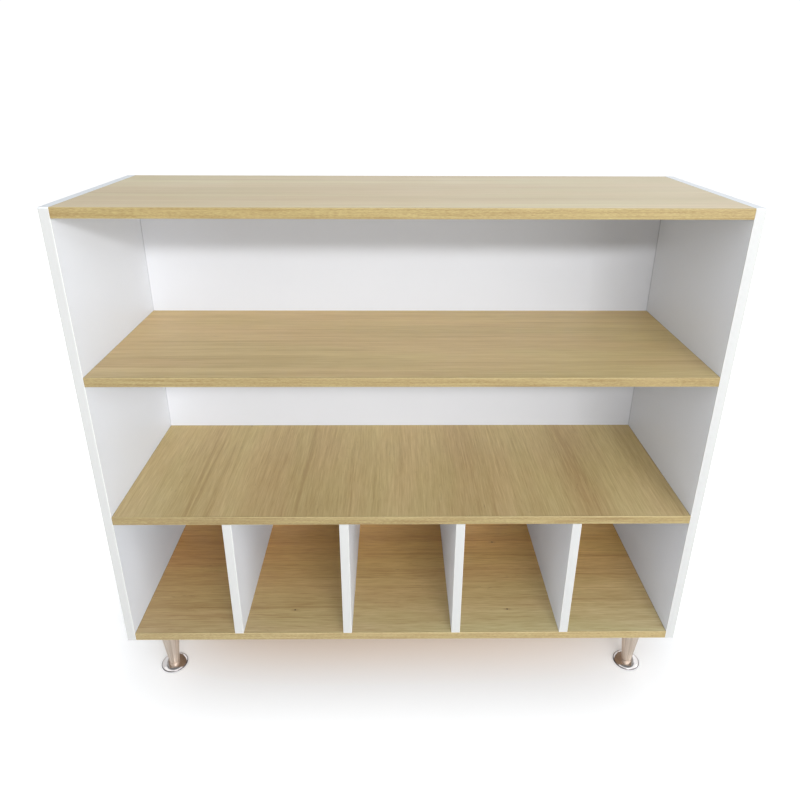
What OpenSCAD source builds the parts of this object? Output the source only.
// Cubby storage cabinet on four metal legs.
// White side panels, back and dividers; oak-faced top, two fixed shelves and bottom.
// Two open tiers stand over a tier of five cubbies.
// The origin is on the floor under the middle of the case. The front faces -Y.

/* [Case] */
// Overall width, over both side panels
case_w = 1219; // [900:1:1500]
// Overall depth, front edge to rear edge
case_d = 406; // [320:1:520]
// Clear height of each of the three tiers
tier_h = 292; // [240:1:360]
// Thickness of the sides, top, shelves, bottom and dividers
board_t = 19; // [18:0.5:25]
// Thickness of the back panel, which is set in between the sides
back_t = 16; // [15:0.5:19]

/* [Edge bands] */
// Thickness of the band glued on each visible edge
band_t = 2; // [1.6:0.1:3]
// Radius worked along a band's two outer edges
band_round = 1.4; // [0.5:0.1:1.5]
// Width of the hairline joint where two bands of a side panel meet
band_joint = 0.05; // [0.03:0.01:0.1]

/* [Case fittings] */
// Diameter of the bores for the cam locks under the board ends
cam_d = 15; // [12:0.5:18]
// Height of a cam lock's bore above the middle of its board
cam_rise = 5; // [4.6:0.1:7]
// Distance from a board's end to the middle of a cam lock
cam_backset = 34; // [26:1:45]
// Distance between a leg plate and the cam lock beside it
cam_clear = 9.5; // [3:0.5:25]
// Diameter of a cam bolt's head
bolt_head_d = 7; // [6:0.5:8]
// Diameter of a cam bolt's thread in the side panel
bolt_thread_d = 5; // [4:0.5:7]
// Depth of a cam bolt's thread in the side panel
bolt_grip = 11; // [8:0.5:14]
// Diameter of the wooden dowels
dowel_d = 8; // [6:0.5:10]
// Length of the wooden dowels
dowel_l = 30; // [24:1:40]
// How deep a dowel goes into the face of a board
dowel_seat = 10; // [7:0.5:13]
// Distance from a board's front or rear edge to the dowel beside it
dowel_inset = 45; // [32:1:60]
// Distance from a divider's front or rear edge to its screw and dowel
divider_inset = 60; // [30:1:90]
// Shank diameter of the screws that come up into the dividers
divider_screw_d = 7; // [5:0.5:8]
// Head diameter of those screws
divider_screw_head_d = 10; // [9:0.5:13]
// How far those screws reach into a divider
divider_screw_reach = 31; // [20:1:45]
// Shank diameter of the back panel's screws and of the leg plates' screws
wood_screw_d = 4; // [3:0.5:5]
// Head diameter of those screws
wood_screw_head_d = 8; // [7:0.5:9]
// How far the back panel's screws reach into the board behind it
back_screw_reach = 24; // [15:1:35]

/* [Legs] */
// Height from the floor to the underside of the case, with the feet screwed right in
leg_h = 114; // [90:1:160]
// Distance from the case's outer side face to the middle of a leg
leg_inset_x = 77; // [66:1:110]
// Distance from the case's front or rear edge to the middle of a leg
leg_inset_y = 43; // [38:1:60]
// Width of the square leg plates
plate_w = 70; // [66:1:76]
// Thickness of the leg plates
plate_t = 3; // [2.5:0.5:5]
// Distance from a leg plate's edge to the middle of its screws
plate_screw_margin = 8; // [6:0.5:9]
// How far the leg plates' screws reach into the bottom panel
plate_screw_reach = 13; // [9:0.5:15]
// Diameter of a leg column where it meets its plate
column_top_d = 44.5; // [34:0.5:50]
// Diameter of a leg column where it meets its foot
column_foot_d = 22.5; // [18:0.5:26]
// Wall thickness of the leg columns
column_wall = 1.5; // [1:0.1:2]
// Height of the bushing pressed into a column's wide end
top_bushing_h = 10; // [6:1:16]
// Height of the threaded bushing pressed into a column's narrow end
foot_bushing_h = 22; // [18:1:30]
// Diameter of the stud that joins a column to its plate
top_stud_d = 8; // [6:0.5:10]
// How far that stud reaches into the bottom panel
top_stud_reach = 10; // [6:0.5:14]

/* [Feet] */
// Diameter of the foot discs
foot_d = 59; // [54:1:66]
// Height of a foot disc's upright rim
rim_h = 1; // [0.8:0.1:2]
// Diameter of a foot disc's hub, under the column
hub_d = 22; // [16:0.5:26]
// Height of the hub's top above the floor
hub_h = 10; // [9:0.5:14]
// Thread diameter of a foot's stud
stud_d = 8; // [7:0.5:10]
// How far each foot can be screwed out
foot_travel = 10; // [5:0.5:15]
// Length of the stud still held in the column when the foot is screwed right out
thread_hold = 18; // [12:1:22]
// Diameter of the plastic sole inside a foot disc
sole_d = 50; // [40:1:51]
// Thickness of the sole
sole_t = 2.2; // [1.6:0.1:2.5]
// How far the sole stands out below its disc
sole_stand = 0.8; // [0.5:0.1:1.2]
// Diameter of the sole's pivot, which turns inside the stud
pivot_d = 4; // [3:0.5:5]
// Height of the sole's pivot above the sole
pivot_h = 4; // [2:0.5:5]

/* [Clearances] */
// Gap all round a screw, bolt or dowel in its drilled hole
drill_gap = 0.05; // [0.03:0.01:0.1]
// Gap between a foot's stud and the bushing it turns in
thread_gap = 0.08; // [0.05:0.01:0.1]
// Gap between pieces that move past each other
run_gap = 0.3; // [0.2:0.05:0.5]
// How far a hole is drilled past the end of what it holds
drill_spare = 0.5; // [0.3:0.1:0.8]

/* [Hidden] */
$fn = 48;

// Colours, as the real finishes look
white_board = "#eceae6";
white_band = "#f6f5f2";
oak = "#c8b284";
oak_band = "#cdb57f";
zinc = "#a9adb0";
beech = "#d3b07c";
nickel = "#b6aca0";
chrome = "#d2d2d0";
black_nylon = "#2b2a29";

// Levels: 0 is the bottom panel, 1 the middle shelf, 2 the upper shelf and 3 the top
tiers = 3;
levels = [for (i = [0:tiers]) i];
cubbies = 5;
sides = [-1, 1];
half_in = case_w / 2 - board_t;
front_y = -case_d / 2;
rear_y = case_d / 2;
shelf_rear_y = rear_y - back_t;
case_h = (tiers + 1) * board_t + tiers * tier_h;
case_top = leg_h + case_h;
cubby_w = (2 * half_in - (cubbies - 1) * board_t) / cubbies;
function level_z(i) = leg_h + i * (board_t + tier_h);
function mid_z(i) = level_z(i) + board_t / 2;
function tier_mid_z(i) = level_z(i) + board_t + tier_h / 2;
// The top and bottom panels run over and under the back, and the shelves stop at it
function full_depth(i) = i == 0 || i == tiers;
function level_rear(i) = full_depth(i) ? rear_y : shelf_rear_y;
function divider_x(k) = -half_in + k * (cubby_w + board_t) - board_t / 2;
function cubby_x(k) = -half_in + cubby_w / 2 + k * (cubby_w + board_t);

// Fittings, in rows behind the front edge and before the rear edge of a board
cam_inset = leg_inset_y + plate_w / 2 + cam_clear + cam_d / 2;
cam_gap = 0.1;
cam_x = half_in - cam_backset;
cam_bore_h = board_t / 2 + cam_rise;
cam_pocket_l = 5;
bolt_head_l = 3;
bolt_neck_d = bolt_head_d - 3;
bolt_bore_d = bolt_head_d + 1;
bolt_collar_l = 2.5;
function cam_rows(i) = [front_y + cam_inset, level_rear(i) - cam_inset];
function dowel_rows(i) = [front_y + dowel_inset, level_rear(i) - dowel_inset];
divider_rows = [front_y + divider_inset, shelf_rear_y - divider_inset];
dowel_bevel = 1;
screw_head_land = 0.6;
recess_depth = 1.6;

// Legs and feet
leg_x = case_w / 2 - leg_inset_x;
leg_y = case_d / 2 - leg_inset_y;
plate_z = leg_h - plate_t;
plate_hole = plate_w / 2 - plate_screw_margin;
plate_corner = 6;
column_z = hub_h + run_gap;
column_h = plate_z - column_z;
disc_ceiling = sole_t + run_gap;
stud_top = column_z + foot_travel + thread_hold;
hub_step = 0.6;
dome_top = hub_h - hub_step;
dome_steps = 14;
rim_bevel = 0.5;
front_left = [-1, -1];
front_right = [1, -1];
rear_left = [-1, 1];
rear_right = [1, 1];
corners = [front_left, front_right, rear_left, rear_right];

// Outer radius of a leg column at a height above its narrow end
function column_r(h) = (column_foot_d + (column_top_d - column_foot_d) * h / column_h) / 2;

// A round hole or pin along Z, from the origin
module rod(d, l) {
    cylinder(d = d, h = l);
}

// The same along X, towards the outside of the case
module rod_x(d, l) {
    rotate([0, 90, 0]) rod(d, l);
}

// A blind hole for something of this diameter and reach, along Z
module drilled(d, l) {
    rod(d + 2 * drill_gap, l + drill_spare);
}

// The same along X
module drilled_x(d, l) {
    rotate([0, 90, 0]) drilled(d, l);
}

// A wooden dowel along Z, with bevelled ends
module dowel() {
    rod_l = dowel_l - 2 * dowel_bevel;
    tip_d = dowel_d - 2 * dowel_bevel;
    cylinder(d1 = tip_d, d2 = dowel_d, h = dowel_bevel);
    translate([0, 0, dowel_bevel]) rod(dowel_d, rod_l);
    translate([0, 0, dowel_bevel + rod_l]) cylinder(d1 = dowel_d, d2 = tip_d, h = dowel_bevel);
}

// Cross recess of a screw head that faces -Z
module cross_recess(across, wide) {
    for (turn = [0, 90]) rotate([0, 0, turn])
        translate([-across / 2, -wide / 2, 0]) cube([across, wide, recess_depth]);
}

// Height of the cone under a countersunk head
function sink_h(head_d, d) = (head_d - d) / 2;

// A countersunk screw along Z: its head's face is at the origin
module sunk_screw(d, head_d, l) {
    difference() {
        union() {
            rod(head_d, screw_head_land);
            translate([0, 0, screw_head_land])
                cylinder(d1 = head_d, d2 = d, h = sink_h(head_d, d));
            rod(d, l);
        }
        cross_recess(head_d * 0.55, head_d * 0.13);
    }
}

// The hole for such a screw, open at its head
module sunk_hole(d, head_d, l) {
    wide = 2 * drill_gap;
    rod(head_d + wide, screw_head_land);
    translate([0, 0, screw_head_land])
        cylinder(d1 = head_d + wide, d2 = d + wide, h = sink_h(head_d, d));
    drilled(d, l);
}

// Puts a piece at the leg position of one corner
module at_corner(c) {
    translate([c[0] * leg_x, c[1] * leg_y, 0]) children();
}

// Puts a piece at each of a leg plate's four screws
module at_plate_screws() {
    for (x = sides, y = sides) translate([x * plate_hole, y * plate_hole, 0]) children();
}

// What a round-over takes away from a band's corner at the origin
module round_over() {
    difference() {
        square(band_round);
        translate([band_round, band_round]) circle(band_round);
    }
}

// An edge band along Z: its glued face is on the plane y = 0 and it stands out towards -Y
module band(wide, l) {
    linear_extrude(l) translate([0, -band_t]) difference() {
        square([wide, band_t]);
        round_over();
        translate([wide, 0]) mirror([1, 0]) round_over();
    }
}

// Right-hand side panel with every hole drilled into its inner face
module side_board() {
    difference() {
        translate([half_in, front_y + band_t, leg_h + band_t])
            cube([board_t, case_d - 2 * band_t, case_h - 2 * band_t]);
        for (i = levels) {
            for (y = cam_rows(i)) translate([half_in, y, mid_z(i)])
                drilled_x(bolt_thread_d, bolt_grip);
            for (y = dowel_rows(i)) translate([half_in, y, mid_z(i)])
                drilled_x(dowel_d, dowel_seat);
        }
        for (i = [0:tiers - 1]) translate([half_in, rear_y - back_t / 2, tier_mid_z(i)])
            drilled_x(dowel_d, dowel_seat);
    }
}

// The four bands of the right-hand side panel: front and rear ones run its full height, and
// the top and bottom ones fit between them
module side_bands() {
    start = band_t + band_joint;
    strip_l = case_d - 2 * start;
    translate([half_in, front_y + band_t, leg_h]) band(board_t, case_h);
    translate([half_in + board_t, rear_y - band_t, leg_h]) rotate([0, 0, 180])
        band(board_t, case_h);
    translate([half_in, rear_y - start, leg_h + band_t]) rotate([90, 0, 0])
        band(board_t, strip_l);
    translate([half_in, front_y + start, case_top - band_t]) rotate([-90, 0, 0])
        band(board_t, strip_l);
}

// One horizontal board, cut back for its bands, with the bores in its ends and underside
module level_board(i) {
    front = front_y + band_t;
    rear = full_depth(i) ? rear_y - band_t : shelf_rear_y;
    difference() {
        translate([-half_in, front, level_z(i)]) cube([2 * half_in, rear - front, board_t]);
        for (side = sides) mirror([side < 0 ? 1 : 0, 0, 0]) {
            for (y = cam_rows(i)) {
                translate([cam_x, y, level_z(i)]) rod(cam_d, cam_bore_h);
                translate([cam_x, y, mid_z(i)]) rod_x(bolt_bore_d, cam_backset);
            }
            for (y = dowel_rows(i)) translate([half_in, y, mid_z(i)]) mirror([1, 0, 0])
                drilled_x(dowel_d, dowel_l - dowel_seat);
        }
    }
}

// A band on a horizontal board's front edge
module level_front_band(i) {
    translate([-half_in, front_y + band_t, level_z(i) + board_t]) rotate([0, 90, 0])
        band(board_t, 2 * half_in);
}

// A band on a horizontal board's rear edge
module level_rear_band(i) {
    mirror([0, 1, 0]) level_front_band(i);
}

module left_side_panel() {
    color(white_board) mirror([1, 0, 0]) side_board();
}

module right_side_panel() {
    color(white_board) side_board();
}

module top_panel() {
    color(oak) level_board(tiers);
}

module upper_shelf() {
    color(oak) difference() {
        level_board(2);
        shelf_screw_holes(2);
    }
}

module middle_shelf() {
    color(oak) difference() {
        level_board(1);
        shelf_screw_holes(1);
        for (k = [1:cubbies - 1], y = divider_rows) translate([divider_x(k), y, level_z(1)])
            drilled(dowel_d, dowel_seat);
    }
}

module bottom_panel() {
    color(oak) difference() {
        level_board(0);
        for (k = [1:cubbies - 1], y = divider_rows) translate([divider_x(k), y, leg_h])
            sunk_hole(divider_screw_d, divider_screw_head_d, board_t);
        for (c = corners) at_corner(c) translate([0, 0, leg_h]) {
            drilled(top_stud_d, top_stud_reach);
            at_plate_screws() drilled(wood_screw_d, plate_screw_reach);
        }
    }
}

// Where the back panel's screws go: the middle of each cubby's width on both shelves
module at_shelf_screws(i) {
    for (k = [0:cubbies - 1]) translate([cubby_x(k), rear_y, mid_z(i)])
        rotate([90, 0, 0]) children();
}

// And one at half height behind each divider
module at_divider_back_screw(k) {
    translate([divider_x(k), rear_y, tier_mid_z(0)]) rotate([90, 0, 0]) children();
}

module back_screw_hole() {
    sunk_hole(wood_screw_d, wood_screw_head_d, back_t + back_screw_reach);
}

module shelf_screw_holes(i) {
    at_shelf_screws(i) back_screw_hole();
}

module back_panel() {
    foot_z = level_z(0) + board_t;
    color(white_board) difference() {
        translate([-half_in, shelf_rear_y, foot_z])
            cube([2 * half_in, back_t, level_z(tiers) - foot_z]);
        for (i = [1, 2]) shelf_screw_holes(i);
        for (k = [1:cubbies - 1]) at_divider_back_screw(k) back_screw_hole();
        for (side = sides, i = [0:tiers - 1]) mirror([side < 0 ? 1 : 0, 0, 0])
            translate([half_in, rear_y - back_t / 2, tier_mid_z(i)]) mirror([1, 0, 0])
                drilled_x(dowel_d, dowel_l - dowel_seat);
    }
}

module divider(k) {
    front = front_y + band_t;
    foot_z = level_z(0) + board_t;
    color(white_board) difference() {
        translate([divider_x(k) - board_t / 2, front, foot_z])
            cube([board_t, shelf_rear_y - front, tier_h]);
        for (y = divider_rows) {
            translate([divider_x(k), y, foot_z]) drilled(divider_screw_d, divider_screw_reach);
            translate([divider_x(k), y, foot_z + tier_h]) mirror([0, 0, 1])
                drilled(dowel_d, dowel_l - dowel_seat);
        }
        at_divider_back_screw(k) back_screw_hole();
    }
}

module divider_band(k) {
    color(white_band)
        translate([divider_x(k) - board_t / 2, front_y + band_t, level_z(0) + board_t])
            band(board_t, tier_h);
}

module left_side_edge_bands() {
    color(white_band) mirror([1, 0, 0]) side_bands();
}

module right_side_edge_bands() {
    color(white_band) side_bands();
}

module top_edge_bands() {
    color(oak_band) {
        level_front_band(tiers);
        level_rear_band(tiers);
    }
}

module upper_shelf_edge_band() {
    color(oak_band) level_front_band(2);
}

module middle_shelf_edge_band() {
    color(oak_band) level_front_band(1);
}

module bottom_edge_bands() {
    color(oak_band) {
        level_front_band(0);
        level_rear_band(0);
    }
}

// One cam lock: a pocket holds the bolt's head and a slot lets its neck out towards the end
module cam_lock() {
    rise = run_gap;
    difference() {
        translate([0, 0, rise]) rod(cam_d - 2 * cam_gap, cam_bore_h - rise - cam_gap);
        translate([-cam_pocket_l / 2, 0, board_t / 2])
            rod_x(bolt_head_d + 2 * run_gap, cam_pocket_l);
        translate([0, 0, board_t / 2])
            rod_x(bolt_neck_d + 2 * run_gap, cam_d);
        translate([0, 0, rise]) cross_recess(cam_d * 0.55, cam_d * 0.1);
    }
}

// One cam bolt along X from its head in the cam lock to the end of its thread
module cam_bolt() {
    translate([-bolt_head_l / 2, 0, 0]) rod_x(bolt_head_d, bolt_head_l);
    rod_x(bolt_neck_d, cam_backset);
    translate([cam_d / 2 + run_gap, 0, 0])
        rod_x(bolt_thread_d, cam_backset + bolt_grip - cam_d / 2 - run_gap);
    translate([cam_backset - bolt_collar_l, 0, 0]) rod_x(bolt_head_d, bolt_collar_l);
}

// Puts a piece at every cam lock, with +X towards the board's end
module at_cams() {
    for (side = sides) mirror([side < 0 ? 1 : 0, 0, 0])
        for (i = levels, y = cam_rows(i)) translate([cam_x, y, level_z(i)]) children();
}

module cam_locks() {
    color(zinc) at_cams() cam_lock();
}

module cam_bolts() {
    color(zinc) at_cams() translate([0, 0, board_t / 2]) cam_bolt();
}

// Puts a dowel through the joint between a board's end and the side panel
module end_dowel(y, z) {
    translate([half_in + dowel_seat - dowel_l, y, z]) rotate([0, 90, 0]) dowel();
}

module case_dowels() {
    color(beech) for (side = sides) mirror([side < 0 ? 1 : 0, 0, 0])
        for (i = levels, y = dowel_rows(i)) end_dowel(y, mid_z(i));
}

module back_dowels() {
    color(beech) for (side = sides) mirror([side < 0 ? 1 : 0, 0, 0])
        for (i = [0:tiers - 1]) end_dowel(rear_y - back_t / 2, tier_mid_z(i));
}

module divider_dowels() {
    color(beech) for (k = [1:cubbies - 1], y = divider_rows)
        translate([divider_x(k), y, level_z(1) + dowel_seat - dowel_l]) dowel();
}

module divider_screws() {
    color(zinc) for (k = [1:cubbies - 1], y = divider_rows)
        translate([divider_x(k), y, leg_h])
            sunk_screw(divider_screw_d, divider_screw_head_d, board_t + divider_screw_reach);
}

module back_screws() {
    color(zinc) {
        for (i = [1, 2]) at_shelf_screws(i)
            sunk_screw(wood_screw_d, wood_screw_head_d, back_t + back_screw_reach);
        for (k = [1:cubbies - 1]) at_divider_back_screw(k)
            sunk_screw(wood_screw_d, wood_screw_head_d, back_t + back_screw_reach);
    }
}

module leg_plate_screws() {
    color(zinc) for (c = corners) at_corner(c) translate([0, 0, plate_z]) at_plate_screws()
        sunk_screw(wood_screw_d, wood_screw_head_d, plate_t + plate_screw_reach);
}

module leg_top_studs() {
    stud_l = top_bushing_h + plate_t + top_stud_reach;
    color(zinc) for (c = corners) at_corner(c)
        translate([0, 0, plate_z - top_bushing_h]) rod(top_stud_d, stud_l);
}

// Square steel plate with cut corners, countersunk from below
module leg_plate(c) {
    half = plate_w / 2;
    cut = half - plate_corner;
    color(nickel) at_corner(c) translate([0, 0, plate_z]) difference() {
        linear_extrude(plate_t) polygon([
            [-half, -cut], [-cut, -half], [cut, -half], [half, -cut],
            [half, cut], [cut, half], [-cut, half], [-half, cut]
        ]);
        rod(top_stud_d + 2 * drill_gap, plate_t);
        at_plate_screws() sunk_hole(wood_screw_d, wood_screw_head_d, plate_t);
    }
}

// Tapered steel tube, narrow end down
module leg_column(c) {
    wall = 2 * column_wall;
    color(nickel) at_corner(c) translate([0, 0, column_z]) difference() {
        cylinder(d1 = column_foot_d, d2 = column_top_d, h = column_h);
        cylinder(d1 = column_foot_d - wall, d2 = column_top_d - wall, h = column_h);
    }
}

// A plug with the column's own taper, between two heights above the column's narrow end
module column_plug(from_h, to_h, bore_d) {
    slack = column_wall + drill_gap;
    difference() {
        translate([0, 0, from_h])
            cylinder(r1 = column_r(from_h) - slack, r2 = column_r(to_h) - slack, h = to_h - from_h);
        translate([0, 0, from_h]) rod(bore_d, to_h - from_h);
    }
}

module leg_top_bushing(c) {
    color(zinc) at_corner(c) translate([0, 0, column_z])
        column_plug(column_h - top_bushing_h, column_h, top_stud_d + 2 * drill_gap);
}

module leg_foot_bushing(c) {
    color(zinc) at_corner(c) translate([0, 0, column_z])
        column_plug(0, foot_bushing_h, stud_d + 2 * thread_gap);
}

// Height of the foot disc's domed upper face at a share of the way from hub to rim
function dome_z(s) = dome_top - (dome_top - sole_stand - rim_h) * pow(s, 3);

module foot_disc(c) {
    hub_r = hub_d / 2;
    rim_r = foot_d / 2;
    well_r = sole_d / 2 + run_gap;
    bore_r = stud_d / 2 + drill_gap;
    dome = [for (n = [0:dome_steps]) let (s = n / dome_steps)
        [hub_r + (rim_r - hub_r) * s, dome_z(s)]];
    color(chrome) at_corner(c) rotate_extrude() polygon(concat(
        [[bore_r, disc_ceiling], [bore_r, hub_h], [hub_r, hub_h]], dome,
        [[rim_r, sole_stand + rim_bevel], [rim_r - rim_bevel, sole_stand],
         [well_r, sole_stand], [well_r, disc_ceiling]]
    ));
}

module foot_stud(c) {
    color(zinc) at_corner(c) difference() {
        translate([0, 0, disc_ceiling]) rod(stud_d, stud_top - disc_ceiling);
        translate([0, 0, disc_ceiling]) rod(pivot_d + 2 * run_gap, pivot_h);
    }
}

module foot_sole(c) {
    color(black_nylon) at_corner(c) {
        rod(sole_d, sole_t);
        rod(pivot_d, sole_t + pivot_h);
    }
}

left_side_panel();
right_side_panel();
top_panel();
upper_shelf();
middle_shelf();
bottom_panel();
back_panel();
divider(1);  // divider_1
divider(2);  // divider_2
divider(3);  // divider_3
divider(4);  // divider_4
left_side_edge_bands();
right_side_edge_bands();
top_edge_bands();
upper_shelf_edge_band();
middle_shelf_edge_band();
bottom_edge_bands();
divider_band(1);  // divider_1_edge_band
divider_band(2);  // divider_2_edge_band
divider_band(3);  // divider_3_edge_band
divider_band(4);  // divider_4_edge_band
cam_locks();
cam_bolts();
case_dowels();
back_dowels();
divider_dowels();
divider_screws();
back_screws();
leg_plate_screws();
leg_top_studs();
leg_plate(front_left);  // leg_plate_front_left
leg_plate(front_right);  // leg_plate_front_right
leg_plate(rear_left);  // leg_plate_rear_left
leg_plate(rear_right);  // leg_plate_rear_right
leg_column(front_left);  // leg_column_front_left
leg_column(front_right);  // leg_column_front_right
leg_column(rear_left);  // leg_column_rear_left
leg_column(rear_right);  // leg_column_rear_right
leg_top_bushing(front_left);  // leg_top_bushing_front_left
leg_top_bushing(front_right);  // leg_top_bushing_front_right
leg_top_bushing(rear_left);  // leg_top_bushing_rear_left
leg_top_bushing(rear_right);  // leg_top_bushing_rear_right
leg_foot_bushing(front_left);  // leg_foot_bushing_front_left
leg_foot_bushing(front_right);  // leg_foot_bushing_front_right
leg_foot_bushing(rear_left);  // leg_foot_bushing_rear_left
leg_foot_bushing(rear_right);  // leg_foot_bushing_rear_right
foot_disc(front_left);  // foot_disc_front_left
foot_disc(front_right);  // foot_disc_front_right
foot_disc(rear_left);  // foot_disc_rear_left
foot_disc(rear_right);  // foot_disc_rear_right
foot_stud(front_left);  // foot_stud_front_left
foot_stud(front_right);  // foot_stud_front_right
foot_stud(rear_left);  // foot_stud_rear_left
foot_stud(rear_right);  // foot_stud_rear_right
foot_sole(front_left);  // foot_sole_front_left
foot_sole(front_right);  // foot_sole_front_right
foot_sole(rear_left);  // foot_sole_rear_left
foot_sole(rear_right);  // foot_sole_rear_right
